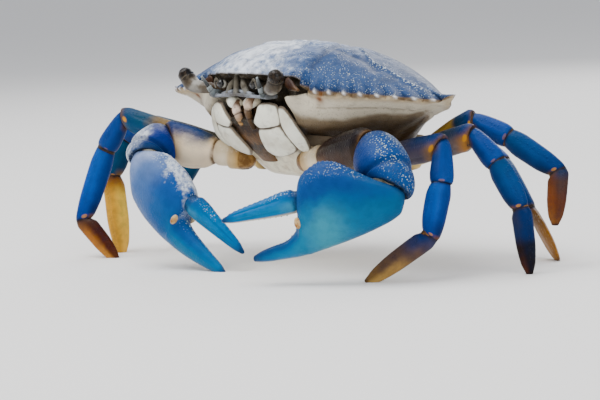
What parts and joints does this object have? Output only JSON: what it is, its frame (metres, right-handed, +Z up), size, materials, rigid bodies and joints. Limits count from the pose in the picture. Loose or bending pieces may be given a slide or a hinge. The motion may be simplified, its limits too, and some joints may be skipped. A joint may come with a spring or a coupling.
{
  "type": "blue swimming crab",
  "caption": "Life-size still model of a blue swimming crab standing on its leg tips, claws lowered in front, wide toothed shell with a spine at each side.",
  "frame": {"origin": "middle of the crab's bounding box, on the ground its leg tips stand on", "axes": "+X to the crab's left and the shell's width, -Y the way the crab faces, +Z up"},
  "size_m": [0.1714, 0.0994, 0.0679],
  "materials": {
    "carapace_shell": "satin granular shell, dusty blue with pale grains",
    "underside_shell": "satin cream shell",
    "mouthpart_shell": "smooth ivory shell with brown seams",
    "eyestalk_shell": "satin grey shell",
    "cornea": "glossy dark brown cornea",
    "feeler": "matte tan feeler",
    "limb_base_shell": "satin cream to yellow shell",
    "merus_shell": "satin lilac grey shell turning blue at the far end",
    "claw_shell": "satin cobalt to turquoise shell with pale grains",
    "claw_finger_shell": "satin azure shell with small white teeth",
    "leg_shell": "satin royal blue shell",
    "leg_tip_shell": "ridged brown and gold shell",
    "paddle_shell": "thin golden brown shell"
  },
  "bodies": {
    "root": {"antenna_left": "feeler", "antenna_right": "feeler", "carapace": "carapace_shell", "chest": "underside_shell", "claw_leg_left_base": "limb_base_shell", "claw_leg_left_carpus": "claw_shell", "claw_leg_left_dactyl": "claw_finger_shell", "claw_leg_left_merus": "merus_shell", "claw_leg_left_propodus": "claw_shell", "claw_leg_right_base": "limb_base_shell", "claw_leg_right_carpus": "claw_shell", "claw_leg_right_dactyl": "claw_finger_shell", "claw_leg_right_merus": "merus_shell", "claw_leg_right_propodus": "claw_shell", "eye_left": "cornea", "eye_right": "cornea", "eyestalk_left": "eyestalk_shell", "eyestalk_right": "eyestalk_shell", "mouthparts_left": "mouthpart_shell", "mouthparts_right": "mouthpart_shell", "swimming_leg_left_carpus": "leg_shell", "swimming_leg_left_dactyl": "paddle_shell", "swimming_leg_left_merus": "merus_shell", "swimming_leg_left_propodus": "leg_shell", "swimming_leg_right_carpus": "leg_shell", "swimming_leg_right_dactyl": "paddle_shell", "swimming_leg_right_merus": "merus_shell", "swimming_leg_right_propodus": "leg_shell", "tail_flap": "underside_shell", "walking_leg_1_left_base": "limb_base_shell", "walking_leg_1_left_carpus": "leg_shell", "walking_leg_1_left_dactyl": "leg_tip_shell", "walking_leg_1_left_merus": "merus_shell", "walking_leg_1_left_propodus": "leg_shell", "walking_leg_1_right_base": "limb_base_shell", "walking_leg_1_right_carpus": "leg_shell", "walking_leg_1_right_dactyl": "leg_tip_shell", "walking_leg_1_right_merus": "merus_shell", "walking_leg_1_right_propodus": "leg_shell", "walking_leg_2_left_base": "limb_base_shell", "walking_leg_2_left_carpus": "leg_shell", "walking_leg_2_left_dactyl": "leg_tip_shell", "walking_leg_2_left_merus": "merus_shell", "walking_leg_2_left_propodus": "leg_shell", "walking_leg_2_right_base": "limb_base_shell", "walking_leg_2_right_carpus": "leg_shell", "walking_leg_2_right_dactyl": "leg_tip_shell", "walking_leg_2_right_merus": "merus_shell", "walking_leg_2_right_propodus": "leg_shell", "walking_leg_3_left_base": "limb_base_shell", "walking_leg_3_left_carpus": "leg_shell", "walking_leg_3_left_dactyl": "leg_tip_shell", "walking_leg_3_left_merus": "merus_shell", "walking_leg_3_left_propodus": "leg_shell", "walking_leg_3_right_base": "limb_base_shell", "walking_leg_3_right_carpus": "leg_shell", "walking_leg_3_right_dactyl": "leg_tip_shell", "walking_leg_3_right_merus": "merus_shell", "walking_leg_3_right_propodus": "leg_shell"}
  },
  "joints": []
}
